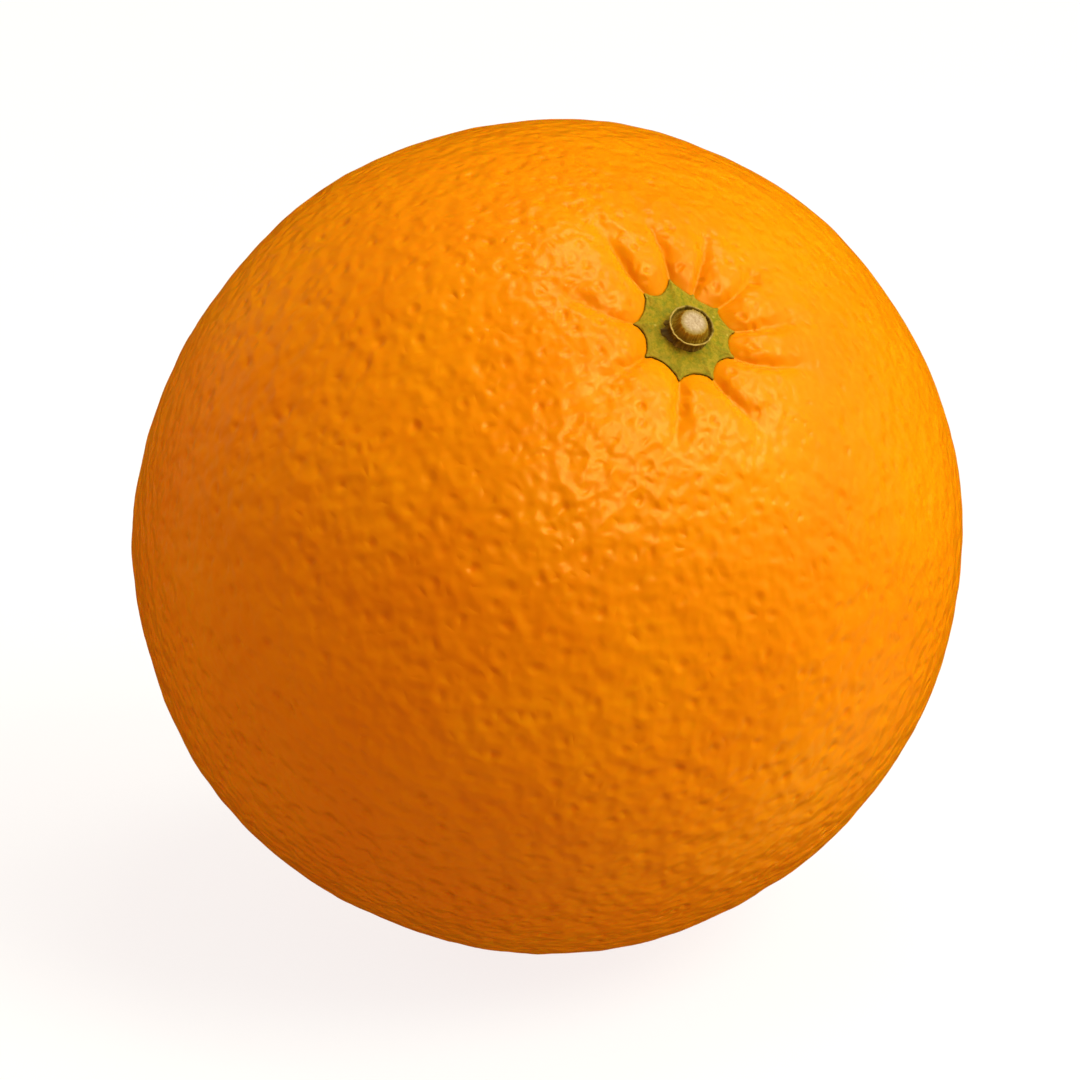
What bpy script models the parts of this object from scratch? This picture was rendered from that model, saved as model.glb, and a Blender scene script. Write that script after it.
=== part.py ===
"""A whole sweet orange with its calyx and a short cut stem, lying on its cheek with the stem up and forward.

Shapes are drawn in millimetres in the stem frame: its origin is the middle of the fruit, +Z runs out along
the stem, and azimuths count anticlockwise round the stem from its downhill side. place() then leans each
piece over and turns it into metres. The world has +Z up and its origin on the table, below the fruit.
"""

from math import cos, exp, hypot, pi, radians, sin, sqrt

import bmesh
import bpy
from mathutils import Matrix, Vector

MM = 0.001
GAP = 0.3  # left between pieces that touch

# The whole fruit
EQUATOR_RADIUS = 40.0
POLE_RADIUS = 41.0
FOOT_RADIUS = 7.5  # of the flat spot that the fruit rests on
LEAN = radians(43.4)  # of the stem from upright
HEADING = radians(-63.0)  # of the stem's lean, in plan from +X

# A softly flattened side and a fuller one: polar angle from the stem, azimuth, breadth (degrees), lift
CHEEKS = [(92, 222, 22, -0.45), (125, 289, 20, 0.3)]

# The stem end: a basin whose middle holds the calyx, with furrows that run out between puffy ridges
BASIN_RADIUS = 15.0
BASIN_DEPTH = 0.75
FURROW_DEPTH = 1.0
FURROW_END = 12.5
SEAT_LEVEL = 38.3
SEAT_RADIUS = 5.0  # on average; the real edge follows the calyx
ROLL_WIDTH = 1.3  # over which a ridge rolls down to the seat

# The points of the calyx, each where a furrow starts: azimuth, azimuth at the furrow's far end,
# reach of the point, reach of the notch after it, and how deep the furrow is from 0 to 1
POINTS = [
    (9, 19, 5.5, 4.3, 1.0),
    (46, 62, 5.2, 4.3, 0.85),
    (78, 85, 5.0, 4.15, 0.45),
    (111, 119, 4.6, 3.8, 0.9),
    (146, 148, 4.1, 4.3, 0.7),
    (174, 178, 5.5, 4.0, 0.3),
    (210, 200, 4.9, 4.05, 0.8),
    (254, 241, 4.85, 4.05, 0.5),
    (294, 293, 5.25, 4.45, 0.65),
    (334, 336, 5.6, 4.65, 1.0),
]

# The blossom end, opposite the stem: a small round scar
SCAR_RADIUS = 3.0
SCAR_DEPTH = 0.4

# The calyx: a thin scalloped plate that rises a little towards the stem
CALYX_BOTTOM = SEAT_LEVEL + GAP
CALYX_EDGE = 0.55  # its thickness
CALYX_RISE = 0.25

# The stem: a collar with an open lip round a cut stub, both a little off the calyx's middle
STEM_OFFSET = Vector((0.5, 0.0, 0.0))
COLLAR_BOTTOM = CALYX_BOTTOM + CALYX_EDGE + CALYX_RISE + GAP
COLLAR_FOOT = 2.35
COLLAR_WAIST = 1.85
COLLAR_LIP = 2.13
COLLAR_WALL = 0.26
COLLAR_HEIGHT = 1.0
CUP_FLOOR = 0.35
STUB_BASE = 1.5
STUB_TOP = 1.3
STUB_RISE = 0.8  # above the collar's lip

# How finely the pieces are cut
STEPS_PER_FURROW = 7
STEM_STEPS = 32
RING_ANGLE = radians(5)


def smooth(x):
    """An even rise from 0 to 1 as x goes from 0 to 1."""
    x = min(max(x, 0.0), 1.0)
    return x * x * (3 - 2 * x)


def between(a, b, t):
    return a + (b - a) * t


def polar(radius, azimuth, z=0.0):
    return Vector((radius * cos(azimuth), radius * sin(azimuth), z))


def furrow_pair(turn):
    """The furrows on either side of a place round the calyx, and how far it is from the first to the second."""
    index = int(turn) % len(POINTS)
    first, second = POINTS[index], POINTS[(index + 1) % len(POINTS)]
    if second[0] < first[0]:
        second = (second[0] + 360, second[1] + 360, *second[2:])
    return first, second, turn - int(turn)


def calyx_reach(turn):
    """The calyx's radius: points joined by hollow scallops."""
    first, second, t = furrow_pair(turn)
    hollow = (first[2] + second[2]) / 2 - first[3]
    return between(first[2], second[2], t) - hollow * 4 * t * (1 - t)


def azimuth_at(turn, radius):
    """Furrows start at the calyx's points and bend as they run outwards."""
    first, second, t = furrow_pair(turn)
    bend = smooth((radius - SEAT_RADIUS) / (FURROW_END - SEAT_RADIUS))
    return radians(between(between(first[0], second[0], t), between(first[1], second[1], t), bend))


def skin_height(radius, turn):
    """The skin's height along the stem at a distance from the stem's axis, inside the basin."""
    edge = calyx_reach(turn) + GAP
    if radius <= edge:
        return SEAT_LEVEL
    first, second, t = furrow_pair(turn)
    hollow = between(first[4], second[4], t) * (1 - sin(pi * t) ** 0.7)
    height = POLE_RADIUS * sqrt(1 - (radius / EQUATOR_RADIUS) ** 2)
    height -= BASIN_DEPTH * (1 - smooth((radius - SEAT_RADIUS) / (BASIN_RADIUS - SEAT_RADIUS)))
    height -= FURROW_DEPTH * hollow * (1 - smooth((radius - SEAT_RADIUS) / (FURROW_END - SEAT_RADIUS)))
    rolled = min((radius - edge) / ROLL_WIDTH, 1.0)
    return between(SEAT_LEVEL, height, sqrt(1 - (1 - rolled) ** 2))


def fruit_profile():
    """Half the fruit's outline, from the stem end to the blossom end, as (radius, height)."""
    crest = SEAT_RADIUS + ROLL_WIDTH
    radii = [0, 0.5 * SEAT_RADIUS, SEAT_RADIUS]
    radii += [SEAT_RADIUS + ROLL_WIDTH * part for part in (0.06, 0.22, 0.45, 0.72)]
    radii += [between(crest, BASIN_RADIUS, step / 6) for step in range(6)]
    points = [(radius, POLE_RADIUS) for radius in radii]
    angle = BASIN_RADIUS / EQUATOR_RADIUS
    while angle < pi - RING_ANGLE / 4:
        points.append((EQUATOR_RADIUS * sin(angle), POLE_RADIUS * cos(angle)))
        angle += RING_ANGLE
    points += [(0.5 * SCAR_RADIUS, -POLE_RADIUS), (0, -POLE_RADIUS)]
    return [(r, z + SCAR_DEPTH * (1 - smooth(r / SCAR_RADIUS)) * (z < 0)) for r, z in points]


def turned(profile, steps):
    """A closed solid of revolution about Z."""
    bm = bmesh.new()
    verts = [bm.verts.new((radius, 0, z)) for radius, z in profile]
    edges = [bm.edges.new(pair) for pair in zip(verts, verts[1:])]
    bmesh.ops.spin(
        bm, geom=verts + edges, cent=(0, 0, 0), axis=(0, 0, 1), angle=2 * pi, steps=steps, use_merge=True
    )
    bmesh.ops.remove_doubles(bm, verts=bm.verts, dist=1e-4)
    bmesh.ops.recalc_face_normals(bm, faces=bm.faces)
    return bm


def press_stem_end(bm):
    """Moves the turned fruit's rings in the basin onto the calyx's edge, the ridges and the furrows."""
    crest = SEAT_RADIUS + ROLL_WIDTH
    for vert in bm.verts:
        x, y, z = vert.co
        radius = hypot(x, y)
        if radius < 1e-6:
            vert.co.z = SEAT_LEVEL if z > 0 else z
            continue
        turn = (Vector((x, y)).angle_signed(Vector((1, 0))) / (2 * pi) * len(POINTS)) % len(POINTS)
        turn = round(turn * STEPS_PER_FURROW) / STEPS_PER_FURROW
        if z > 0 and radius < BASIN_RADIUS - 1e-6:
            edge = calyx_reach(turn) + GAP
            if radius <= SEAT_RADIUS + 1e-6:
                radius *= edge / SEAT_RADIUS
            elif radius < crest:
                radius += edge - SEAT_RADIUS
            else:
                radius = between(edge + ROLL_WIDTH, BASIN_RADIUS, (radius - crest) / (BASIN_RADIUS - crest))
            z = skin_height(radius, turn)
        vert.co = polar(radius, azimuth_at(turn, radius), z)


def swell_cheeks(bm):
    for vert in bm.verts:
        lift = 0.0
        for polar_angle, azimuth, breadth, height in CHEEKS:
            middle = polar(sin(radians(polar_angle)), radians(azimuth), cos(radians(polar_angle)))
            lift += height * exp(-((vert.co.angle(middle) / radians(breadth)) ** 2))
        vert.co += vert.co.normalized() * lift


def make_fruit():
    bm = turned(fruit_profile(), len(POINTS) * STEPS_PER_FURROW)
    press_stem_end(bm)
    swell_cheeks(bm)
    return bm


def make_calyx():
    bm = bmesh.new()
    count = len(POINTS) * STEPS_PER_FURROW
    turns = [step / STEPS_PER_FURROW for step in range(count)]
    outline = [polar(calyx_reach(turn), azimuth_at(turn, 0), CALYX_BOTTOM) for turn in turns]
    face = bm.faces.new([bm.verts.new(point) for point in outline])
    for shrink, rise in ((1.0, CALYX_EDGE), (0.72, 0.6 * CALYX_RISE), (0.6, 0.4 * CALYX_RISE)):
        face = bmesh.ops.extrude_discrete_faces(bm, faces=[face])["faces"][0]
        bmesh.ops.scale(bm, verts=face.verts, vec=(shrink, shrink, 1))
        bmesh.ops.translate(bm, verts=face.verts, vec=(0, 0, rise))
    bmesh.ops.contextual_create(bm, geom=[edge for edge in bm.edges if edge.is_boundary])
    bmesh.ops.recalc_face_normals(bm, faces=bm.faces)
    return bm


def make_collar():
    low, high = COLLAR_BOTTOM, COLLAR_BOTTOM + COLLAR_HEIGHT
    profile = [
        (0, low),
        (COLLAR_FOOT - 0.1, low),
        (COLLAR_FOOT, low + 0.15),
        (COLLAR_WAIST, low + 0.4),
        (COLLAR_WAIST + 0.1, low + 0.65),
        (COLLAR_LIP, high - 0.12),
        (COLLAR_LIP - 0.06, high),
        (COLLAR_LIP - COLLAR_WALL, high - 0.02),
        (STUB_BASE + GAP, low + CUP_FLOOR + 0.1),
        (STUB_BASE, low + CUP_FLOOR),
        (0, low + CUP_FLOOR),
    ]
    bm = turned(profile, STEM_STEPS)
    bmesh.ops.translate(bm, verts=bm.verts, vec=STEM_OFFSET)
    return bm


def make_stub():
    low = COLLAR_BOTTOM + CUP_FLOOR + GAP
    high = COLLAR_BOTTOM + COLLAR_HEIGHT + STUB_RISE
    profile = [
        (0, low),
        (STUB_BASE - 0.1, low),
        (STUB_BASE - 0.02, low + 0.15),
        (between(STUB_BASE, STUB_TOP, 0.6), between(low, high, 0.5)),
        (STUB_TOP, high - 0.2),
        (STUB_TOP - 0.12, high - 0.06),
        (0.5 * STUB_TOP, high),
        (0, high + 0.02),
    ]
    bm = turned(profile, STEM_STEPS)
    bmesh.ops.translate(bm, verts=bm.verts, vec=STEM_OFFSET)
    return bm


def lean_over(bm):
    turn = Matrix.Rotation(HEADING, 4, "Z") @ Matrix.Rotation(LEAN, 4, "Y")
    bmesh.ops.transform(bm, matrix=turn, verts=bm.verts)


def flatten_foot(bm):
    """Cuts the flat spot under the fruit and returns the point of the table below the fruit's middle."""
    lows, highs = ([pick(v.co[axis] for v in bm.verts) for axis in range(3)] for pick in (min, max))
    rise = EQUATOR_RADIUS - sqrt(EQUATOR_RADIUS**2 - FOOT_RADIUS**2)
    table = Vector(((lows[0] + highs[0]) / 2, (lows[1] + highs[1]) / 2, lows[2] + rise))
    everything = bm.verts[:] + bm.edges[:] + bm.faces[:]
    bmesh.ops.bisect_plane(bm, geom=everything, plane_co=table, plane_no=(0, 0, 1), clear_inner=True)
    bmesh.ops.contextual_create(bm, geom=[edge for edge in bm.edges if edge.is_boundary])
    bmesh.ops.recalc_face_normals(bm, faces=bm.faces)
    return table


def place(bm, name, material, table):
    """Stands the piece on the table, in metres, as an object of its own."""
    bmesh.ops.translate(bm, verts=bm.verts, vec=-table)
    bmesh.ops.scale(bm, verts=bm.verts, vec=(MM, MM, MM))
    mesh = bpy.data.meshes.new(name)
    bm.to_mesh(mesh)
    bm.free()
    mesh.shade_smooth()
    mesh.set_sharp_from_angle(angle=radians(40))
    mesh.materials.append(material)
    obj = bpy.data.objects.new(name, mesh)
    bpy.context.scene.collection.objects.link(obj)
    return obj


def skin_of(name, colour, roughness):
    material = bpy.data.materials.new(name)
    material.use_nodes = True
    shader = material.node_tree.nodes["Principled BSDF"]
    shader.inputs["Base Color"].default_value = (*colour, 1)
    shader.inputs["Roughness"].default_value = roughness
    shader.inputs["Metallic"].default_value = 0.0
    return material


def main():
    for obj in list(bpy.data.objects):
        bpy.data.objects.remove(obj)
    pieces = [
        ("fruit", make_fruit(), skin_of("waxy_orange_rind", (0.9, 0.19, 0.004), 0.42)),
        ("calyx", make_calyx(), skin_of("green_calyx", (0.36, 0.32, 0.03), 0.6)),
        ("stem_collar", make_collar(), skin_of("dry_stem_bark", (0.3, 0.2, 0.05), 0.7)),
        ("stem_stub", make_stub(), skin_of("cut_stem_wood", (0.68, 0.52, 0.28), 0.7)),
    ]
    for _, bm, _ in pieces:
        lean_over(bm)
    table = flatten_foot(pieces[0][1])
    for name, bm, material in pieces:
        place(bm, name, material, table)


main()
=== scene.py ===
# %% [markdown]
# # A fresh orange on a pale table
#
# One whole sweet orange lies on its cheek, with its stem end turned up and forward. The engineering model
# gives a plain solid for each of its four pieces: the fruit, the calyx, the collar round the stem, and the
# cut stub. This lesson builds the visible pieces in their places and gives each one its finish.
#
# The frame comes first, because every piece takes its place from it.

# %% Load the frame
from math import cos, pi, radians, sin

import bmesh
import bpy
import numpy as np
from mathutils import Matrix, Vector, noise


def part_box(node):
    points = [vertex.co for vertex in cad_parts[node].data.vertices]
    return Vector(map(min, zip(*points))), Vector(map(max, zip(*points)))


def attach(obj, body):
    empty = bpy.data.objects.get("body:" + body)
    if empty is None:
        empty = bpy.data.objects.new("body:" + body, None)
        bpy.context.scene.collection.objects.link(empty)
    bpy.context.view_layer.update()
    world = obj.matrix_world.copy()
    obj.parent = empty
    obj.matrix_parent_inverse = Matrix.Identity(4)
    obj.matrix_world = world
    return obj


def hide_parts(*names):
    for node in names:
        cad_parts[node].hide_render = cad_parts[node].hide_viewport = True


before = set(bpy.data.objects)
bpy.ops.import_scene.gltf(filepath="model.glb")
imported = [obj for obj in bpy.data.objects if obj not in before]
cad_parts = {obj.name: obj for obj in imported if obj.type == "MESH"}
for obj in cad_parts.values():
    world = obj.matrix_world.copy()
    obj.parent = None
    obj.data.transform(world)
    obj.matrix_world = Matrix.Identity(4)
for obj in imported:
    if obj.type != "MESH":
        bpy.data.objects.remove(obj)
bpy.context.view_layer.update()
print("nodes:", ", ".join(sorted(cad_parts)))

# %% [markdown]
# ## Two frames
#
# A fruit is drawn most easily round its own stem, so shapes are made in the stem frame: millimetres, its
# origin in the middle of the fruit, +Z out along the stem, azimuths anticlockwise from the stem's downhill
# side. One matrix then leans each piece over and stands it on the table, in metres. The lean is a fact of
# how the fruit lies. The place is read from the fruit's box, whose top and middle the rind has to share.

# %% Sizes of the fruit, in millimetres
MM = 0.001
EQUATOR = 40.0
POLE = 41.0
TILT = 43.4  # how far the stem leans from upright, in degrees
TURN = -63.0  # which way it leans, in degrees round the upright
LEAN = Matrix.Rotation(radians(TURN), 4, "Z") @ Matrix.Rotation(radians(TILT), 4, "Y")
fruit_low, fruit_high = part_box("fruit")


def stand_matrix(low, high):
    """The matrix that stands a leaned fruit, whose box in millimetres is given, in the fruit's own box."""
    middle = (fruit_low + fruit_high) / 2 / MM - (low + high) / 2
    rise = Vector((middle.x, middle.y, fruit_high.z / MM - high.z))
    return Matrix.Scale(MM, 4) @ Matrix.Translation(rise) @ LEAN


def smooth(x):
    """An even rise from 0 to 1 as x goes from 0 to 1."""
    x = np.clip(x, 0.0, 1.0)
    return x * x * (3 - 2 * x)


def between(a, b, t):
    """The value a share t of the way from a to b."""
    return a + (b - a) * t


print("the fruit is", [round(side / MM, 1) for side in fruit_high - fruit_low], "mm")

# %% [markdown]
# ## The calyx and its furrows
#
# The calyx is what is left of the flower's green cup. Its pointed lobes are joined by hollow edges, and from
# each point a furrow runs out over the rind, because the rind grew against the cup and bulged between the
# points. So one short list drives both: where each point is, where its furrow ends, and how deep it is.

# %% The points of the calyx
# azimuth, azimuth at the furrow's far end, reach, reach of the notch after it, furrow depth 0-1, furrow end
POINTS = np.array([
    (9, 19, 5.2, 4.2, 1.0, 12.5),
    (46, 62, 4.9, 4.2, 0.85, 13.5),
    (78, 85, 4.65, 4.0, 0.45, 11.0),
    (111, 119, 4.15, 3.65, 0.9, 12.5),
    (146, 148, 3.75, 4.1, 0.7, 12.0),
    (174, 178, 5.0, 3.9, 0.3, 9.5),
    (210, 200, 4.6, 3.95, 0.8, 12.5),
    (254, 241, 4.55, 3.95, 0.5, 12.5),
    (294, 293, 4.95, 4.35, 0.65, 13.5),
    (334, 336, 5.3, 4.55, 1.0, 13.5),
])
EDGE = 5.0  # the calyx's mean reach
FURROWS_END = 12.5  # where a furrow has reached its far azimuth
BASIN = 15.0  # where the stem end's basin starts
SPIKE_REACH = 0.25  # each point ends in a fine spike
SPIKE_WIDTH = 0.2


def sector(azimuth, radius):
    """For places round the stem: the point before each, its share of the way to the next, and the gap."""
    bend = smooth((radius - EDGE) / (FURROWS_END - EDGE))[:, None]
    furrows = POINTS[:, 0] + (POINTS[:, 1] - POINTS[:, 0]) * bend
    past = (np.degrees(azimuth)[:, None] - furrows) % 360
    index = past.argmin(axis=1)
    rows = np.arange(len(index))
    gap = (furrows[rows, (index + 1) % len(POINTS)] - furrows[rows, index]) % 360
    return index, past[rows, index] / gap, gap


def calyx_reach(index, t, gap):
    """The calyx's radius: points joined by hollow scallops, each point drawn out to a spike."""
    first, second = POINTS[index], POINTS[(index + 1) % len(POINTS)]
    hollow = (first[:, 2] + second[:, 2]) / 2 - first[:, 3]
    from_point = np.radians(gap) * EDGE * np.minimum(t, 1 - t)
    spike = SPIKE_REACH * np.exp(-((from_point / SPIKE_WIDTH) ** 2))
    return between(first[:, 2], second[:, 2], t) - hollow * 4 * t * (1 - t) + spike


print("calyx points:", len(POINTS))

# %% [markdown]
# ## The rind's form
#
# The rind starts as a cube whose faces are cut into a fine grid and blown up to a ball. Its squares stay
# nearly even all over, which a globe's do not: they crowd at the poles. Near the stem, where the furrows
# and the calyx's crisp edge are, the grid is cut finer twice. Then numbers take over: each vertex is moved
# by formulas for the basin, the lobes, the furrows and the slow unevenness that every grown fruit has.

# %% Cut the ball
GRID_CUTS = 117  # 118 squares along each side of the cube: about half a millimetre each
FINE_ZONES = (11.0, 7.4)  # radii round the stem inside which the grid is halved, and halved again


def ball():
    bm = bmesh.new()
    bmesh.ops.create_cube(bm, size=2)
    bmesh.ops.subdivide_edges(bm, edges=bm.edges[:], cuts=GRID_CUTS, use_grid_fill=True)
    for vert in bm.verts:
        x, y, z = (np.tan(part * pi / 4) for part in vert.co)
        vert.co = Vector((x, y, z)).normalized() * EQUATOR
    for zone in FINE_ZONES:
        inner = [e for e in bm.edges if all(v.co.z > 0 and v.co.xy.length < zone for v in e.verts)]
        bmesh.ops.subdivide_edges(bm, edges=inner, cuts=1, use_grid_fill=True)
    return bm


rind_bm = ball()
print("rind grid:", len(rind_bm.verts), "vertices,", len(rind_bm.calc_loop_triangles()), "triangles")

# %% [markdown]
# Between two points of the calyx the rind swells into a full, rounded lobe, and neighbouring lobes meet in a
# fold. So a lobe is a curve that stays high across most of its width and drops at both sides, and a furrow is
# a soft valley along the bent line between two lobes, narrow where it starts and wider further out. The lobes
# slope down to the calyx, which sits on a low seat with a thin crevice round it. All of it fades out where
# the basin ends.

# %% Shape the stem end
SEAT = 38.8  # under the calyx, where nobody sees it
CREVICE = 38.95  # where the rind comes out from under the calyx's edge
BASIN_DEPTH = 0.8
FURROW_DEPTH = 0.48
FURROW_WIDTH = 0.42
FURROW_SPREAD = 0.08  # how much wider it gets with each millimetre outwards
FURROW_FADE = 8.0  # the radius where furrows start to fade out
LOBE_HEIGHT = 0.62
LOBE_FULLNESS = 3  # a higher power gives a flatter top and steeper sides
LOBE_LENGTH = 12.0
SLOPE_LENGTH = 4.8  # from the calyx's edge up to the top of the lobe


def stem_end_height(radius, azimuth):
    """The height of the rind round the stem, with its seat, crevice, lobes and furrows."""
    index, t, gap = sector(azimuth, radius)
    out = radius - calyx_reach(index, t, gap)
    height = POLE * np.sqrt(1 - (radius / EQUATOR) ** 2)
    height -= BASIN_DEPTH * (1 - smooth((radius - EDGE) / (BASIN - EDGE)))
    for side, share in ((0, t), (1, 1 - t)):
        furrow = POINTS[(index + side) % len(POINTS)]
        away = radius * np.radians(gap * share) / (FURROW_WIDTH + FURROW_SPREAD * (radius - EDGE))
        fade = 1 - smooth((radius - FURROW_FADE) / (furrow[:, 5] + 1 - FURROW_FADE))
        height -= FURROW_DEPTH * furrow[:, 4] * np.exp(-(away**2)) * fade
    lobe = 1 - np.abs(2 * t - 1) ** LOBE_FULLNESS
    height += LOBE_HEIGHT * lobe * (1 - smooth((radius - EDGE) / LOBE_LENGTH))
    risen = np.sin(np.clip(out / SLOPE_LENGTH, 0, 1) * pi / 2)
    return np.where(out > 0, between(CREVICE, height, risen), SEAT)


# %% [markdown]
# The whole fruit is a little longer along its stem than across, one side is softly flattened and the one
# next to it is fuller. Slow noise, a couple of tenths of a millimetre high and some 15 mm across, keeps the
# light from running over it as over a billiard ball. Opposite the stem is the small round scar of the flower.

# %% Shape the whole rind
CHEEKS = ((92, 222, 22, -0.45), (125, 289, 20, 0.3))  # polar angle, azimuth, breadth, lift
SWELL_SIZE = 15.0
SWELL_HEIGHT = 0.3
SWELL_START = 6.0  # the radius where the unevenness starts, clear of the calyx
SCAR = ((2.2, 0.5), (0.9, -0.25))  # breadth and depth: a round dent with a small knob in it


def slow_noise(points, size):
    """Smooth noise between about -1 and 1, whose bumps are about size across."""
    return np.array([noise.noise(Vector(p) / size) for p in points])


def shape_rind(points):
    """Moves an array of points on the plain ball to the fruit's surface."""
    points = points * (1, 1, POLE / EQUATOR)
    radius = np.hypot(points[:, 0], points[:, 1])
    basin = (points[:, 2] > 0) & (radius < BASIN)
    azimuth = np.arctan2(points[:, 1], points[:, 0])
    points[basin, 2] = stem_end_height(radius[basin], azimuth[basin])
    far = points[:, 2] < 0
    for breadth, depth in SCAR:
        points[far, 2] += depth * np.exp(-((radius[far] / breadth) ** 2))
    unit = points / np.linalg.norm(points, axis=1)[:, None]
    lift = SWELL_HEIGHT * slow_noise(points, SWELL_SIZE) * smooth((radius - SWELL_START) / 10 + far)
    for polar_angle, turn, breadth, height in CHEEKS:
        a, b = radians(polar_angle), radians(turn)
        cheek = (sin(a) * cos(b), sin(a) * sin(b), cos(a))
        away = np.degrees(np.arccos(np.clip(unit @ cheek, -1, 1)))
        lift += height * np.exp(-((away / breadth) ** 2))
    return points + unit * lift[:, None]


def coordinates(mesh):
    """The vertices' places, as an array."""
    flat = np.empty(len(mesh.vertices) * 3)
    mesh.vertices.foreach_get("co", flat)
    return flat.reshape(-1, 3)


def mesh_from(name, bm):
    """Ends a bmesh and returns its mesh."""
    mesh = bpy.data.meshes.new(name)
    bm.to_mesh(mesh)
    bm.free()
    return mesh


rind_mesh = mesh_from("rind", rind_bm)
rind_form = shape_rind(coordinates(rind_mesh))
rind_mesh.vertices.foreach_set("co", rind_form.ravel())
print("rind reaches from", rind_form.min(0).round(1), "to", rind_form.max(0).round(1))

# %% [markdown]
# ## One helper for all nodes
#
# Both the rind's relief and every material are made of nodes. This function adds one to any tree, sets its
# properties, and fills its inputs with values, with other nodes, or with one certain output of a node.


# %% The node helper
def add(tree, kind, inputs=None, **settings):
    node = tree.nodes.new(kind)
    for name, value in settings.items():
        setattr(node, name, value)
    for name, value in (inputs or {}).items():
        if isinstance(value, bpy.types.Node):
            value = next(output for output in value.outputs if not output.is_unavailable)
        if isinstance(value, bpy.types.NodeSocket):
            tree.links.new(value, node.inputs[name])
        else:
            node.inputs[name].default_value = value
    return node


MATH, VECTOR, RANGE, MIX = "ShaderNodeMath", "ShaderNodeVectorMath", "ShaderNodeMapRange", "ShaderNodeMix"
NOISE, CELLS = "ShaderNodeTexNoise", "ShaderNodeTexVoronoi"
print("node kinds used most:", MATH, VECTOR, RANGE, MIX, NOISE, CELLS)

# %% [markdown]
# ## Pores
#
# The rind of an orange is full of oil glands, and over each one the skin sinks into a small pit, about
# 1.6 mm from the next. A Voronoi texture scatters points in space at that spacing. The surface cuts through
# its cells at every depth, so the distance that counts is the one along the surface: the part of the way to
# the cell's point that is at right angles to the skin. Then each pit is round, and a random number per cell
# makes some deep and some shallow. A pit fades out at its cell's border, so that no two meet in a step.
#
# The same function serves twice: in Geometry Nodes it really moves the mesh, and in the material it gives
# the bump for what is finer than the mesh. Both read two attributes that are stored before the pits are
# pressed: "grain", each vertex's place in the pattern, and "outward", which way the skin faces there. On most
# of the fruit these are simply its place and its direction from the middle.
#
# Near the stem the glands are closer together. Grain is enlarged there, so more cells fall on each millimetre
# of skin. Widening it across the stem alone would stretch every pit, so the skin is unrolled as a steeper
# cap: each ring grows by the same share along the skin as round it, and its slope gives "outward".

# %% Grain and smoothness
PORE_CELL = 1.9  # in three dimensions, which puts the pits about 1.6 mm apart on the skin
TIGHTENED = 0.36  # how much closer they are beside the stem, as a share: about 1.2 mm apart
LOOSE = 30.0  # the radius round the stem where they have their full spacing
STEM_RELIEF = 0.65  # how strong all relief is beside the stem
TOP_RELIEF = 0.9  # and where the stem's basin has ended
FAR_GAIN = 1.55  # how much stronger it gets towards the far end
SMOOTH_RIM = 2.0  # the skin that comes out from under the calyx is smooth for this far


def put_attribute(mesh, name, kind, values):
    """Stores one value for each vertex under a name that nodes can read."""
    attribute = mesh.attributes.new(name, kind, "POINT")
    field = "vector" if kind == "FLOAT_VECTOR" else "value"
    attribute.data.foreach_set(field, np.asarray(values, np.float32).ravel())


def grain_profile():
    """From the stem's axis out to LOOSE: radii, the same in grain space, heights there, and slope angles."""
    radius = np.linspace(0, LOOSE, 300)
    closer = 1 + TIGHTENED * (1 - smooth((radius - 4) / (LOOSE - 4)))
    across = np.gradient(closer * radius)
    path = closer * np.gradient(EQUATOR * np.arcsin(radius / EQUATOR))
    fall = np.sqrt(np.maximum(path**2 - across**2, 0))
    return radius, closer * radius, fall.sum() - np.cumsum(fall), np.arctan2(fall, across)


def ball_height(radius):
    """The height of the plain, slightly long ball."""
    return POLE * np.sqrt(np.maximum(1 - (radius / EQUATOR) ** 2, 0))


def mark_rind(mesh):
    """Stores the pattern's places, its outward directions, and how strong the relief is."""
    grain = coordinates(mesh)
    radius = np.maximum(np.hypot(grain[:, 0], grain[:, 1]), 1e-6)
    azimuth = np.arctan2(grain[:, 1], grain[:, 0])
    front = grain[:, 2] > 0
    index, t, gap = sector(azimuth, radius)
    out = radius - calyx_reach(index, t, gap)
    pored = np.where(front, smooth((out - 0.2) / SMOOTH_RIM), 1.0)
    pored *= between(STEM_RELIEF, TOP_RELIEF, smooth((radius - 9) / 12))
    pored *= between(1.0, FAR_GAIN, smooth((30 - grain[:, 2]) / 40))
    outward = grain / np.linalg.norm(grain, axis=1)[:, None]
    near = front & (radius < LOOSE)
    radii, *table = grain_profile()
    wide, tall, slope = (np.interp(radius[near], radii, column) for column in table)
    ring = np.stack([np.cos(azimuth[near]), np.sin(azimuth[near])], axis=1)
    grain[near, 2] += tall + ball_height(LOOSE) - ball_height(radius[near])
    grain[near, :2] = ring * wide[:, None]
    outward[near, 2] = np.cos(slope)
    outward[near, :2] = ring * np.sin(slope)[:, None]
    put_attribute(mesh, "grain", "FLOAT_VECTOR", grain)
    put_attribute(mesh, "outward", "FLOAT_VECTOR", outward)
    put_attribute(mesh, "pored", "FLOAT", pored)


mark_rind(rind_mesh)
print("rind attributes:", [a.name for a in rind_mesh.attributes if a.domain == "POINT"])


# %% The pits, as nodes
SHALLOWEST, DEEPEST = 0.2, 1.25  # the range of the pits' random depths
PIT_BORDER = 0.35  # the share of a cell, at its border, where its pit fades out


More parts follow.
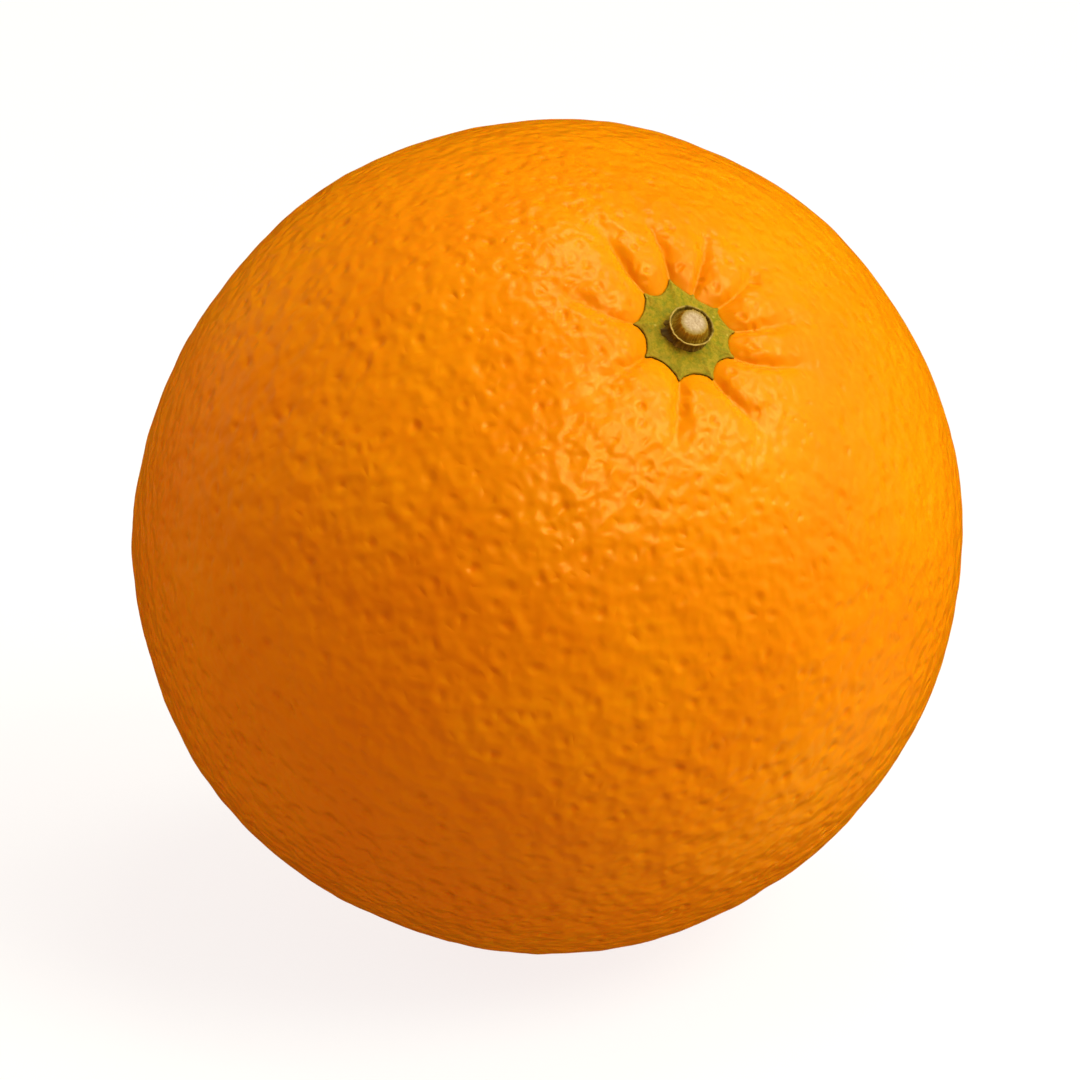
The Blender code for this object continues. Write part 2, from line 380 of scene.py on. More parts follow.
def pits(tree, grain, outward):
    """Outputs: way along the skin to the nearest pit's middle in millimetres, and its depth from 0 to 1."""
    cell = {"Vector": grain, "Scale": 1 / PORE_CELL}
    nearest = add(tree, CELLS, cell)
    border = add(tree, CELLS, cell, feature="DISTANCE_TO_EDGE")
    way = add(tree, VECTOR, {0: nearest.outputs["Position"], 1: grain}, operation="SUBTRACT")
    rise = add(tree, VECTOR, {0: way, 1: outward}, operation="DOT_PRODUCT")
    rise = add(tree, VECTOR, {0: outward, "Scale": rise.outputs["Value"]}, operation="SCALE")
    along = add(tree, VECTOR, {0: way, 1: rise}, operation="DISTANCE")
    random = add(tree, "ShaderNodeSeparateXYZ", {0: nearest.outputs["Color"]})
    depth = add(tree, RANGE, {"Value": random, "To Min": SHALLOWEST, "To Max": DEEPEST})
    mask = add(tree, RANGE, {"Value": border, "From Max": PIT_BORDER}, interpolation_type="SMOOTHSTEP")
    return along.outputs["Value"], add(tree, MATH, {0: depth, 1: mask}, operation="MULTIPLY")


# %% [markdown]
# ## Press the pits into the mesh
#
# Geometry Nodes moves each vertex along its normal. Three things add up: the pits; a softer noise between
# them, which makes the skin pebbled; and slow dimples, several pits across. The modifier is applied at once,
# so the finished piece is a mesh.

# %% Relief in the mesh
PIT_RADIUS = 0.95
PIT_DEPTH = 0.1
PEBBLE_SIZE = 2.4
PEBBLE_HEIGHT = 0.12
DIMPLE_SIZE = 4.5
DIMPLE_HEIGHT = 0.14


def relief_tree():
    """Geometry nodes that press the pits, the pebbling and the dimples into the rind."""
    tree = bpy.data.node_groups.new("pressed_pits", "GeometryNodeTree")
    for way in ("INPUT", "OUTPUT"):
        tree.interface.new_socket("Geometry", in_out=way, socket_type="NodeSocketGeometry")
    grain = add(tree, "GeometryNodeInputNamedAttribute", {"Name": "grain"}, data_type="FLOAT_VECTOR")
    pored = add(tree, "GeometryNodeInputNamedAttribute", {"Name": "pored"}, data_type="FLOAT")
    outward = add(tree, "GeometryNodeInputNamedAttribute", {"Name": "outward"}, data_type="FLOAT_VECTOR")
    along, depth = pits(tree, grain, outward)
    pit = add(
        tree,
        RANGE,
        {"Value": along, "From Max": PIT_RADIUS, "To Min": -PIT_DEPTH, "To Max": 0.0},
        interpolation_type="SMOOTHSTEP",
    )
    height = add(tree, MATH, {0: pit, 1: depth}, operation="MULTIPLY")
    for size, lift in ((PEBBLE_SIZE, PEBBLE_HEIGHT), (DIMPLE_SIZE, DIMPLE_HEIGHT)):
        soft = add(tree, NOISE, {"Vector": grain, "Scale": 1 / size, "Detail": 0.0})
        centred = add(tree, MATH, {0: soft, 1: 0.5}, operation="SUBTRACT")
        height = add(tree, MATH, {0: centred, 1: lift, 2: height}, operation="MULTIPLY_ADD")
    height = add(tree, MATH, {0: height, 1: pored}, operation="MULTIPLY")
    normal = add(tree, "GeometryNodeInputNormal")
    offset = add(tree, VECTOR, {0: normal, "Scale": height}, operation="SCALE")
    moved = add(tree, "GeometryNodeSetPosition", {"Geometry": add(tree, "NodeGroupInput"), "Offset": offset})
    add(tree, "NodeGroupOutput", {"Geometry": moved})
    return tree


def linked(name, data):
    """Links a mesh, a lamp or a camera to the scene as an object and returns it."""
    obj = bpy.data.objects.new(name, data)
    bpy.context.scene.collection.objects.link(obj)
    return obj


def apply_modifiers(obj):
    """Replaces the object's mesh by the one that its modifiers make."""
    bpy.context.view_layer.update()
    made = bpy.data.meshes.new_from_object(obj.evaluated_get(bpy.context.evaluated_depsgraph_get()))
    obj.modifiers.clear()
    obj.data = made


rind = linked("rind", rind_mesh)
rind.modifiers.new("pits", "NODES").node_group = relief_tree()
apply_modifiers(rind)
print("rind pressed:", len(rind.data.vertices), "vertices")

# %% [markdown]
# ## Stand the fruit on the table
#
# The rind gives a little where it rests. Whatever would sink below the table is laid flat on it. The same
# matrix then stands every other piece, and one function gives each its place and its body.

# %% Lean, place and flatten
leaned = coordinates(rind.data) @ np.array(LEAN.to_3x3()).T
STAND = stand_matrix(Vector(leaned.min(0)), Vector(leaned.max(0)))
TABLE_GAP = 0.02 * MM


def place(obj, node):
    """Stands a piece that was made in the stem frame, in the place of a node of the engineering model."""
    obj.data.transform(STAND)
    laid = coordinates(obj.data)
    laid[:, 2] = np.maximum(laid[:, 2], TABLE_GAP)
    obj.data.vertices.foreach_set("co", laid.ravel())
    obj.data.update()
    obj.data.shade_smooth()
    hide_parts(node)
    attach(obj, "root")
    print(obj.name, "has", len(laid), "vertices from", laid.min(0).round(4), "to", laid.max(0).round(4))


place(rind, "fruit")

# %% [markdown]
# ## The calyx
#
# The calyx is a thin leathery star. It is turned as a plain disc first: a profile spun round the stem's axis
# gives rings of vertices with no seam. Each ring's radius is then a share of the star's reach at that
# azimuth, and its height comes from formulas: a low rise to the stem, a vein out to each point, a lip that
# bends down at the rim, and fine unevenness, because it dries as the fruit ripens.


# %% Turn a profile
def turned(name, profile, steps):
    """A closed mesh from (radius, height) points, from the axis round to the axis again."""
    bm = bmesh.new()
    points = [bm.verts.new((radius, 0, height)) for radius, height in profile]
    for pair in zip(points, points[1:]):
        bm.edges.new(pair)
    bmesh.ops.spin(
        bm,
        geom=bm.verts[:] + bm.edges[:],
        axis=(0, 0, 1),
        cent=(0, 0, 0),
        angle=2 * pi,
        steps=steps,
        use_merge=True,
    )
    bmesh.ops.remove_doubles(bm, verts=bm.verts[:], dist=0.0005)
    bmesh.ops.recalc_face_normals(bm, faces=bm.faces[:])
    return mesh_from(name, bm)


def rounded(profile, cuts):
    """Softens a profile: a smooth curve through its points, each stretch cut into equal parts."""
    spots = np.array([profile[0], *profile, profile[-1]], float)
    shares = np.arange(cuts) / cuts
    curve = []
    for a, b, c, d in zip(spots, spots[1:], spots[2:], spots[3:]):
        square, cube = 2 * a - 5 * b + 4 * c - d, 3 * b - a - 3 * c + d
        for t in shares:
            curve.append(0.5 * (2 * b + (c - a) * t + square * t**2 + cube * t**3))
    curve.append(spots[-1])
    return [(max(radius, 0.0), height) for radius, height in curve]


# %% The calyx
CALYX_UNDER = 38.7
CALYX_RIM = 39.22
CALYX_MIDDLE = 39.45
CALYX_STEPS = 360
CALYX_RINGS = 26
CALYX_SECTION = [(0, 0.0), (0.5, 0.0), (0.96, 0.0), (1.0, 0.35), (1.0, 0.7)]  # underside and edge
VEIN_WIDTH = 0.3
VEIN_HEIGHT = 0.05
LIP_DROP = 0.1  # how far the rim bends down


def make_calyx():
    """The star, as a disc whose rings are drawn out to the points; heights are shares until the end."""
    shares = np.linspace(0, 1, CALYX_RINGS)
    top = [(share, 1.0) for share in shares[::-1]]
    mesh = turned("calyx", [*CALYX_SECTION, *top], CALYX_STEPS)
    points = coordinates(mesh)
    share = np.hypot(points[:, 0], points[:, 1])
    layer = points[:, 2].copy()
    azimuth = np.arctan2(points[:, 1], points[:, 0])
    index, t, gap = sector(azimuth, np.full_like(share, EDGE))
    radius = share * between(EDGE, calyx_reach(index, t, gap), smooth((share - 0.3) / 0.5))
    points[:, 0], points[:, 1] = radius * np.cos(azimuth), radius * np.sin(azimuth)
    flat = points * (1, 1, 0)
    away = radius * np.radians(gap * np.minimum(t, 1 - t))
    vein = np.exp(-((away / VEIN_WIDTH) ** 2))
    raised = VEIN_HEIGHT * vein * smooth((share - 0.35) / 0.3) * (1 - smooth((share - 0.8) / 0.2))
    uneven = 0.12 * slow_noise(flat, 1.6) + 0.05 * slow_noise(flat + 7, 0.6)
    surface = between(CALYX_MIDDLE, CALYX_RIM, share**1.5) + (raised + uneven) * smooth((1 - share) * 6 + 0.3)
    surface -= LIP_DROP * smooth((share - 0.86) / 0.14)
    points[:, 2] = between(CALYX_UNDER, surface, layer)
    mesh.vertices.foreach_set("co", points.ravel())
    put_attribute(mesh, "grain", "FLOAT_VECTOR", points)
    put_attribute(mesh, "rim", "FLOAT", share)
    # The underside and cut edge, which the finish paints dark brown: partly dried edge, partly painted shade.
    put_attribute(mesh, "side", "FLOAT", 1 - smooth((layer - 0.7) / 0.3))
    put_attribute(mesh, "vein", "FLOAT", vein * share)
    return linked("calyx_star", mesh)


calyx = make_calyx()
place(calyx, "calyx")

# %% [markdown]
# ## The collar
#
# Where the stem joins the calyx it swells into a low collar with a thin, pale, open lip. The picker's
# clippers tore the bark below it on one side, and that side keeps a ragged skirt of dry bits, with a shadow
# under it. The collar is one turned profile. The skirt's vertices are then pulled out by an amount that
# changes round the stem, with teeth, and noise roughens the rest.

# %% The collar
STEM_MIDDLE = Vector((0.5, 0, 0))
COLLAR_PROFILE = (
    (0.0, 39.1),
    (1.85, 39.15),
    (2.04, 39.26),
    (2.1, 39.4),
    (2.04, 39.52),
    (1.94, 39.6),
    (1.88, 39.78),
    (1.88, 39.95),
    (1.96, 40.2),
    (2.07, 40.42),
    (2.11, 40.54),
    (2.04, 40.6),
    (1.95, 40.56),
    (1.88, 40.42),
    (1.82, 40.2),
    (1.66, 40.08),
    (1.3, 40.0),
    (0.0, 40.0),
)
SKIRT_LEVEL = 39.4
SKIRT_BREADTH = 0.15
TORN_SIDE = 256  # the azimuth where the skirt is most ragged
TORN_WIDTH = 42  # how far to each side it is torn, in degrees
RUBBED_SIDE = 290  # the azimuth where the lip is rubbed palest
LIP_TOP = 40.6


def make_collar():
    """The collar, with noise that follows the bark round the stem and is drawn out along it."""
    mesh = turned("collar", rounded(COLLAR_PROFILE, 4), 200)
    points = coordinates(mesh)
    radius = np.hypot(points[:, 0], points[:, 1])
    azimuth = np.arctan2(points[:, 1], points[:, 0])
    height = points[:, 2].copy()
    ring = np.stack([np.cos(azimuth), np.sin(azimuth), np.zeros_like(azimuth)], axis=1)
    from_torn_side = (np.degrees(azimuth) - TORN_SIDE + 180) % 360 - 180
    torn = np.exp(-((from_torn_side / TORN_WIDTH) ** 4))
    skirt = np.exp(-(((height - SKIRT_LEVEL) / SKIRT_BREADTH) ** 2)) * (radius > 1.85)
    teeth = 0.6 + 2.0 * slow_noise(ring * 2.5, 0.9) + 1.0 * slow_noise(ring * 2.5 + 3, 0.4)
    ragged = torn * np.clip(0.35 * teeth, -0.1, 0.45)
    pull = skirt * (ragged + 0.1 * slow_noise(ring * 2.5, 0.7) - 0.12 * (1 - torn))
    lip = np.exp(-(((height - LIP_TOP) / 0.12) ** 2))
    bark = slow_noise(ring * 2.1 + points * (0, 0, 0.25), 0.22) * 0.035 + 0.03 * slow_noise(points, 0.5)
    radius = np.where(radius > 1.35, radius + pull + bark + 0.05 * slow_noise(ring * 2, 1.1), radius)
    points[:, 0], points[:, 1] = radius * ring[:, 0], radius * ring[:, 1]
    points[:, 2] += lip * (0.1 * slow_noise(ring * 2, 0.9) + 0.05 * slow_noise(ring * 2 + 5, 0.3))
    points[:, 2] -= skirt * torn * 0.12 * slow_noise(ring * 2.5 + 9, 0.3)
    points += STEM_MIDDLE
    mesh.vertices.foreach_set("co", points.ravel())
    put_attribute(mesh, "grain", "FLOAT_VECTOR", ring * 2.1 + points * (0, 0, 0.25))
    rubbed = 0.65 + 0.35 * np.cos(azimuth - radians(RUBBED_SIDE)) + 0.8 * slow_noise(ring * 2, 0.5)
    pale = np.clip(rubbed, 0, 1) * np.exp(-(((height - LIP_TOP) / 0.05) ** 2))
    put_attribute(mesh, "lip", "FLOAT", pale)
    put_attribute(mesh, "skirt", "FLOAT", skirt)
    # The wall inside the lip, which the finish paints lighter as painted fill light.
    put_attribute(mesh, "groove", "FLOAT", (radius < 1.84) * smooth((LIP_TOP - 0.05 - height) / 0.3))
    return linked("stem_collar_bark", mesh)


collar = make_collar()
place(collar, "stem_collar")

# %% [markdown]
# ## The stub
#
# The stub is the stem itself, cut off square. It flares a little where it grows out of the cup. Its cut face
# dried to a shallow dome with an uneven edge, a few fine cracks along the rays of the wood, and a small
# sunken pith in the middle.

# %% The stub
STUB_PROFILE = (
    (0.0, 39.9),
    (1.72, 39.95),
    (1.66, 40.12),
    (1.5, 40.4),
    (1.43, 40.75),
    (1.38, 41.0),
    (1.34, 41.1),
    (1.22, 41.18),
    (0.9, 41.23),
    (0.45, 41.26),
    (0.0, 41.27),
)
CUT_LEVEL = 41.12


def make_stub():
    """The stub: fibres roughen its sides, and its cut face is cracked and a little sunk in the middle."""
    mesh = turned("stub", rounded(STUB_PROFILE, 5), 180)
    points = coordinates(mesh)
    radius = np.hypot(points[:, 0], points[:, 1])
    azimuth = np.arctan2(points[:, 1], points[:, 0])
    height = points[:, 2].copy()
    ring = np.stack([np.cos(azimuth), np.sin(azimuth), np.zeros_like(azimuth)], axis=1)
    cut = smooth((height - CUT_LEVEL) / 0.06)
    fibre = 0.09 * slow_noise(ring * 1.6 + points * (0, 0, 0.15), 0.2)
    fibre += 0.08 * slow_noise(ring * 1.6 + 4, 0.9)
    radius *= 1 + fibre * np.clip(radius / 1.2, 0, 1) ** 2 * (1 - 0.5 * cut)
    cracks = np.clip(slow_noise(ring * 1.3 + 2, 0.17) - 0.25, 0, 1) * smooth(radius / 0.5) * 0.25
    rough = 0.05 * slow_noise(points, 0.35) + 0.03 * slow_noise(points, 0.14)
    pith = 0.05 * np.exp(-((radius / 0.22) ** 2))
    points[:, 0], points[:, 1] = radius * ring[:, 0], radius * ring[:, 1]
    points[:, 2] += cut * (rough - cracks - pith)
    points += STEM_MIDDLE
    mesh.vertices.foreach_set("co", points.ravel())
    put_attribute(mesh, "grain", "FLOAT_VECTOR", ring * 1.5 + points * (0, 0, 0.2))
    put_attribute(mesh, "face", "FLOAT_VECTOR", points)
    put_attribute(mesh, "cut", "FLOAT", cut)
    put_attribute(mesh, "outer", "FLOAT", np.clip(radius / 1.3, 0, 1))
    return linked("stem_stub_wood", mesh)


stub = make_stub()
place(stub, "stem_stub")

# %% [markdown]
# ## Colours
#
# Colours are written as hex codes, as a painter would pick them on a screen. Blender's shaders want linear
# light, so one function turns the one into the other.


# %% Colour helper
def hex_colour(code):
    """A linear colour from an sRGB hex code."""
    parts = [int(code[i : i + 2], 16) / 255 for i in (1, 3, 5)]
    return (*(p / 12.92 if p <= 0.04045 else ((p + 0.055) / 1.055) ** 2.4 for p in parts), 1.0)


def new_material(name, roughness, ior):
    """A material with its tree and shader, and the two constants that every finish here sets."""
    material = bpy.data.materials.new(name)
    material.use_nodes = True
    shader = material.node_tree.nodes["Principled BSDF"]
    shader.inputs["Roughness"].default_value = roughness
    shader.inputs["IOR"].default_value = ior
    return material, material.node_tree, shader


def painted(tree, shader, colour, bump):
    """Joins the finished colour and bump to the shader."""
    finished = next(output for output in colour.outputs if not output.is_unavailable)
    tree.links.new(finished, shader.inputs["Base Color"])
    tree.links.new(bump.outputs["Normal"], shader.inputs["Normal"])


print("orange in linear light:", [round(part, 3) for part in hex_colour("#F27500")])

# %% [markdown]
# ## The rind's finish
#
# Orange rind is a living skin under a thin coat of wax. The wax gives small warm glints on every slope that
# faces a lamp. It has the index of real wax, 1.45, and is only half smooth, because it is thin and lies on
# fine cells. Its glints are tinted, because part of their light has passed through the top of the skin.
# The colour is a deep, even orange that drifts a little between redder and yellower over some 17 mm. In the
# pits it is painted redder and darker, as painted shade. A little light goes into the skin and comes out
# again, red the farthest, which subsurface scattering gives.
#
# The bump adds what is finer than the mesh: the sharper core of each pit, and the fine crumple between them.

# %% Waxy rind
CORE_RADIUS = 0.95
CORE_DEPTH = 0.12
FINE_SIZE = 2.1
FINE_HEIGHT = 0.52
# How strongly the pits are painted redder and darker: painted shade.
PIT_SHADE_PAINT = 0.18
SKIN_DEPTH = 0.0012  # how far red light travels in the skin, in metres
BLUSH_SIZE = 16.7  # the redder and yellower parts of the skin


def waxy_rind():
    material, tree, shader = new_material("waxy_orange_rind", roughness=0.28, ior=1.45)
    grain = add(tree, "ShaderNodeAttribute", attribute_name="grain").outputs["Vector"]
    pored = add(tree, "ShaderNodeAttribute", attribute_name="pored").outputs["Fac"]
    outward = add(tree, "ShaderNodeAttribute", attribute_name="outward").outputs["Vector"]
    along, depth = pits(tree, grain, outward)
    core = add(
        tree,
        RANGE,
        {"Value": along, "From Max": CORE_RADIUS, "To Min": 1.0, "To Max": 0.0},
        interpolation_type="SMOOTHSTEP",
    )
    core = add(tree, MATH, {0: core, 1: depth}, operation="MULTIPLY")
    fine = add(tree, NOISE, {"Vector": grain, "Scale": 1 / FINE_SIZE, "Detail": 1.0})
    fine = add(tree, MATH, {0: fine, 1: FINE_HEIGHT}, operation="MULTIPLY")
    height = add(tree, MATH, {0: core, 1: -CORE_DEPTH, 2: fine}, operation="MULTIPLY_ADD")
    height = add(tree, MATH, {0: height, 1: pored}, operation="MULTIPLY")
    bump = add(tree, "ShaderNodeBump", {"Height": height, "Distance": MM, "Strength": 1.0})
    broad = add(tree, NOISE, {"Vector": grain, "Scale": 1 / BLUSH_SIZE, "Detail": 2.0})
    broad = add(tree, RANGE, {"Value": broad, "From Min": 0.35, "From Max": 0.65})
    hue = add(
        tree,
        MIX,
        {"Factor": broad, "A": hex_colour("#D97B00"), "B": hex_colour("#DD8500")},
        data_type="RGBA",
    )
    # Painted shade: each pit's core is coloured redder and darker, more so the deeper it is.
    sunk = add(tree, MATH, {0: core, 1: 3.0}, operation="POWER")
    sunk = add(tree, MATH, {0: sunk, 1: PIT_SHADE_PAINT}, operation="MULTIPLY")
    colour = add(tree, MIX, {"Factor": sunk, "A": hue, "B": hex_colour("#D95A00")}, data_type="RGBA")
    shader.inputs["Specular Tint"].default_value = hex_colour("#FFB868")
    shader.inputs["Subsurface Weight"].default_value = 0.4
    shader.inputs["Subsurface Radius"].default_value = (1.0, 0.35, 0.05)
    shader.inputs["Subsurface Scale"].default_value = SKIN_DEPTH
    painted(tree, shader, colour, bump)
    return material


rind.data.materials.append(waxy_rind())
print("rind finish:", rind.data.materials[0].name)

# %% [markdown]
# ## The calyx's finish
#
# The calyx is a dried but still green sepal: leathery and matt. Its green is broken by paler, yellower
# patches about a millimetre across. The points and the rim have dried to tan. Its cut side and its underside
# are dark brown: partly the dried edge, partly painted shade of the crevice it sits in. A few pale specks are
# its breathing pores.

# %% Leathery sepal
MOTTLE_SIZE = 0.5  # the patches, with finer detail inside them
SPECK_SPACING = 1.1
SPECK_SHARES = (0.06, 0.14)  # a speck's full core and its faded edge, as shares of that spacing
CELL_SIZE = 0.25  # the sepal's fine grain


def leathery_sepal():
    material, tree, shader = new_material("leathery_green_sepal", roughness=0.65, ior=1.2)
    place_on = add(tree, "ShaderNodeAttribute", attribute_name="grain").outputs["Vector"]
    rim = add(tree, "ShaderNodeAttribute", attribute_name="rim").outputs["Fac"]
    side = add(tree, "ShaderNodeAttribute", attribute_name="side").outputs["Fac"]
    vein = add(tree, "ShaderNodeAttribute", attribute_name="vein").outputs["Fac"]
    mottle = {"Vector": place_on, "Scale": 1 / MOTTLE_SIZE, "Detail": 4.0, "Roughness": 0.65}
    mottle = add(tree, NOISE, mottle)
    green = add(tree, RANGE, {"Value": mottle, "From Min": 0.36, "From Max": 0.64})
    colour = add(
        tree, MIX, {"Factor": green, "A": hex_colour("#706E00"), "B": hex_colour("#9A7E04")}, data_type="RGBA"
    )
    worn = add(tree, MATH, {0: rim, 1: mottle}, operation="ADD")
    worn = add(tree, RANGE, {"Value": worn, "From Min": 1.25, "From Max": 1.65, "To Max": 0.75})
    worn = add(tree, MATH, {0: vein, 1: 0.25, 2: worn}, operation="MULTIPLY_ADD")
    colour = add(tree, MIX, {"Factor": worn, "A": colour, "B": hex_colour("#98801C")}, data_type="RGBA")
    specks = add(tree, CELLS, {"Vector": place_on, "Scale": 1 / SPECK_SPACING})
    core, faded = SPECK_SHARES
    specks = {"Value": specks, "From Min": core, "From Max": faded, "To Min": 0.7, "To Max": 0.0}
    specks = add(tree, RANGE, specks)
    colour = add(tree, MIX, {"Factor": specks, "A": colour, "B": hex_colour("#B3A040")}, data_type="RGBA")
    # Partly painted shade: the side and underside are coloured dark brown, the dried edge and the crevice's
    # shade together.
    colour = add(tree, MIX, {"Factor": side, "A": colour, "B": hex_colour("#3B2406")}, data_type="RGBA")
    fine = add(tree, NOISE, {"Vector": place_on, "Scale": 1 / CELL_SIZE, "Detail": 3.0})
    height = add(tree, MATH, {0: mottle, 1: 0.12}, operation="MULTIPLY")
    height = add(tree, MATH, {0: fine, 1: 0.05, 2: height}, operation="MULTIPLY_ADD")
    bump = add(tree, "ShaderNodeBump", {"Height": height, "Distance": MM, "Strength": 1.0})
    painted(tree, shader, colour, bump)
    return material


calyx.data.materials.append(leathery_sepal())
print("calyx finish:", calyx.data.materials[0].name)

# %% [markdown]
# ## The collar's finish
#
# The collar is thin young bark, olive brown and dull, streaked along the stem. Its lip was rubbed and dried
# to pale straw. The torn skirt is streaked pale and dark. The wall inside the lip is painted a lighter brown:
# painted fill light against the shade it lies in.

# %% Stem bark
STREAK_SIZE = 0.25


def stem_bark():
    material, tree, shader = new_material("dry_stem_bark", roughness=0.7, ior=1.25)
    place_on = add(tree, "ShaderNodeAttribute", attribute_name="grain").outputs["Vector"]
    lip = add(tree, "ShaderNodeAttribute", attribute_name="lip").outputs["Fac"]
    skirt = add(tree, "ShaderNodeAttribute", attribute_name="skirt").outputs["Fac"]
    groove = add(tree, "ShaderNodeAttribute", attribute_name="groove").outputs["Fac"]
    streak = add(tree, NOISE, {"Vector": place_on, "Scale": 1 / STREAK_SIZE, "Detail": 4.0})
    shade = add(tree, RANGE, {"Value": streak, "From Min": 0.35, "From Max": 0.65})
    colour = add(
        tree, MIX, {"Factor": shade, "A": hex_colour("#4A3804"), "B": hex_colour("#74600C")}, data_type="RGBA"
    )
    pale = add(tree, RANGE, {"Value": streak, "From Min": 0.55, "From Max": 0.7, "To Max": 0.7})
    pale = add(tree, MATH, {0: pale, 1: skirt}, operation="MULTIPLY")
    pale = add(tree, MATH, {0: pale, 1: lip}, operation="MAXIMUM")
    # Painted fill light: the wall inside the lip is coloured a lighter brown than the bark round it.
    colour = add(tree, MIX, {"Factor": groove, "A": colour, "B": hex_colour("#7A5A08")}, data_type="RGBA")
    colour = add(tree, MIX, {"Factor": pale, "A": colour, "B": hex_colour("#B4984A")}, data_type="RGBA")
    height = add(tree, MATH, {0: streak, 1: 0.15}, operation="MULTIPLY")
    bump = add(tree, "ShaderNodeBump", {"Height": height, "Distance": MM, "Strength": 1.0})
    painted(tree, shader, colour, bump)
    return material


collar.data.materials.append(stem_bark())
print("collar finish:", collar.data.materials[0].name)

# %% [markdown]
# ## The stub's finish
#
# The cut face is raw wood that has dried for some days: cream and tan in patches, tan at its edge, with
# short fibre ends in it. The sides keep their thin olive-brown bark.

# %% Cut wood
BARK_SIZE = 0.2
FIBRE_SIZE = 0.25


def cut_wood():
    material, tree, shader = new_material("dried_cut_wood", roughness=0.65, ior=1.25)
    streaks = add(tree, "ShaderNodeAttribute", attribute_name="grain").outputs["Vector"]
    place_on = add(tree, "ShaderNodeAttribute", attribute_name="face").outputs["Vector"]
    cut = add(tree, "ShaderNodeAttribute", attribute_name="cut").outputs["Fac"]
    outer = add(tree, "ShaderNodeAttribute", attribute_name="outer").outputs["Fac"]
    bark = add(tree, NOISE, {"Vector": streaks, "Scale": 1 / BARK_SIZE, "Detail": 3.0})
    bark_shade = add(tree, RANGE, {"Value": bark, "From Min": 0.35, "From Max": 0.65})
    sides = {"Factor": bark_shade, "A": hex_colour("#8C680A"), "B": hex_colour("#A07C12")}
    sides = add(tree, MIX, sides, data_type="RGBA")
    fibres = {"Vector": place_on, "Scale": 1 / FIBRE_SIZE, "Detail": 4.0, "Roughness": 0.7}
    fibres = add(tree, NOISE, fibres)
    patch = add(tree, RANGE, {"Value": fibres, "From Min": 0.35, "From Max": 0.65})
    wood = add(
        tree, MIX, {"Factor": patch, "A": hex_colour("#A08663"), "B": hex_colour("#B8A284")}, data_type="RGBA"
    )
    edge = add(tree, RANGE, {"Value": outer, "From Min": 0.55, "From Max": 0.95})
    wood = add(tree, MIX, {"Factor": edge, "A": wood, "B": hex_colour("#8E7430")}, data_type="RGBA")
    colour = add(tree, MIX, {"Factor": cut, "A": sides, "B": wood}, data_type="RGBA")
    height = add(tree, MATH, {0: fibres, 1: 0.06}, operation="MULTIPLY")
    bump = add(tree, "ShaderNodeBump", {"Height": height, "Distance": MM, "Strength": 1.0})
    painted(tree, shader, colour, bump)
    return material


stub.data.materials.append(cut_wood())
print("stub finish:", stub.data.materials[0].name)

# %% [markdown]
# ## Table, light and camera
#
# The table is one wide white sheet of paper, and a tent of the same white stands far round it, so that every
# side of the fruit is seen against white. Both glow faintly, so that they stay white and the shadow on the
# table stays soft. They are there for the eye alone: neither lights the fruit nor casts a shadow on it.

# %% Table and tent
SHEET_SIZE = 4.0
SHEET_GLOW = 0.82

white, _, shader = new_material("white_paper_sweep", roughness=0.9, ior=1.3)
shader.inputs["Base Color"].default_value = hex_colour("#707070")
shader.inputs["Emission Color"].default_value = hex_colour("#FFFFFF")
shader.inputs["Emission Strength"].default_value = SHEET_GLOW


def white_sheet(name, bm):
    """A piece of the setting, which the camera sees and the fruit doesn't."""
    sheet = linked(name, mesh_from(name, bm))
    sheet.data.shade_smooth()
    sheet.data.materials.append(white)
    sheet.visible_diffuse = sheet.visible_glossy = sheet.visible_shadow = False
    print(name, "reaches", SHEET_SIZE, "m out")


flat = bmesh.new()
bmesh.ops.create_grid(flat, x_segments=1, y_segments=1, size=SHEET_SIZE)
white_sheet("table", flat)
dome = bmesh.new()
bmesh.ops.create_icosphere(dome, subdivisions=4, radius=SHEET_SIZE)
bmesh.ops.reverse_faces(dome, faces=dome.faces[:])
white_sheet("tent", dome)

# %% [markdown]
# A big soft lamp to the right, above the fruit, gives it its form and colour, and the room gives an even,
# warm light from all round. Two weak lamps, one low behind it at the left and one under the table at the
# right, stand for the light that a white sheet would throw back onto its edges. The table casts no shadow,
# so it lets the lower one through. These three, and the room, are hidden from glossy reflections. The glints
# come from three small lamps: one at the right, one over the top, and one in front that gives glints only.

# %% Light
MIDDLE = STAND @ Vector((0, 0, 0))
LAMP_DISTANCE = 0.9
LAMP_COLOUR = (0.86, 1.0, 0.86)  # in linear light: faintly green, which balances the warm room
ROOM_STRENGTH = 0.74


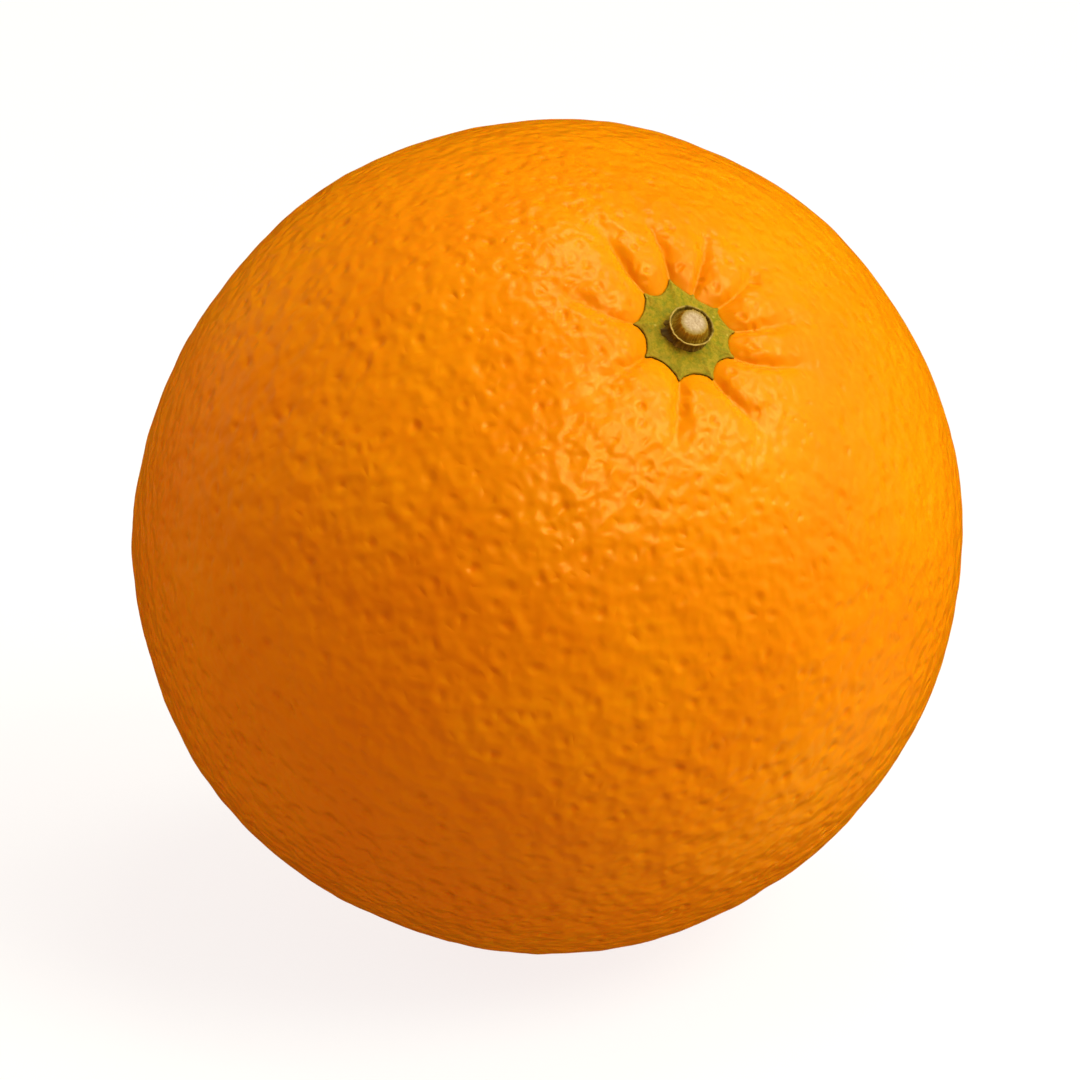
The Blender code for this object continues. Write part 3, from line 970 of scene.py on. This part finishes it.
def toward(azimuth, elevation):
    """The direction from the fruit to a place: azimuth 0 is in front, 90 to the right."""
    a, e = radians(azimuth), radians(elevation)
    return Vector((sin(a) * cos(e), -cos(a) * cos(e), sin(e)))


def softbox(name, azimuth, elevation, size, power):
    """A round area lamp that faces the fruit."""
    light = bpy.data.lights.new(name, "AREA")
    light.shape = "DISK"
    light.size = size
    light.energy = power
    light.color = LAMP_COLOUR
    obj = linked(name, light)
    obj.location = MIDDLE + toward(azimuth, elevation) * LAMP_DISTANCE
    obj.rotation_euler = toward(azimuth, elevation).to_track_quat("Z", "Y").to_euler()
    return obj


softbox("side_lamp", 82, 36, 1.4, 9.5).visible_glossy = False
softbox("left_rim", -126, 5, 0.6, 3.5).visible_glossy = False
softbox("low_rim", 112, -40, 0.6, 4.0).visible_glossy = False
softbox("key_lamp", 60, 45, 0.45, 4.8)
softbox("front_lamp", 20, 37, 0.3, 3.2).visible_diffuse = False
softbox("top_lamp", 110, 80, 0.35, 2.1)
world = bpy.data.worlds.new("studio")
world.use_nodes = True
room = world.node_tree.nodes["Background"]
room.inputs["Color"].default_value = hex_colour("#FFCFB0")
room.inputs["Strength"].default_value = ROOM_STRENGTH
world.cycles_visibility.glossy = False
bpy.context.scene.world = world
bpy.context.scene.view_settings.view_transform = "Standard"
print("lamps:", len(bpy.data.lights))

# %% [markdown]
# The camera looks slightly down from in front, from about five fruit widths away, through a long lens.

# %% Camera
DISTANCE = 0.4
LENS = 137.4
LOOKS_DOWN = 20  # in degrees
AIM_LEFT = 0.67  # how far the camera aims to the left of the fruit's middle, in millimetres
AIM_BELOW = 0.29  # and below it

lens = bpy.data.cameras.new("camera")
lens.lens = LENS
camera = linked("camera", lens)
back = toward(0, LOOKS_DOWN)
right = Vector((1, 0, 0))
up = back.cross(right)
camera.location = MIDDLE - (right * AIM_LEFT + up * AIM_BELOW) * MM + back * DISTANCE
camera.rotation_euler = back.to_track_quat("Z", "Y").to_euler()
bpy.context.scene.camera = camera
print("camera at", camera.location)
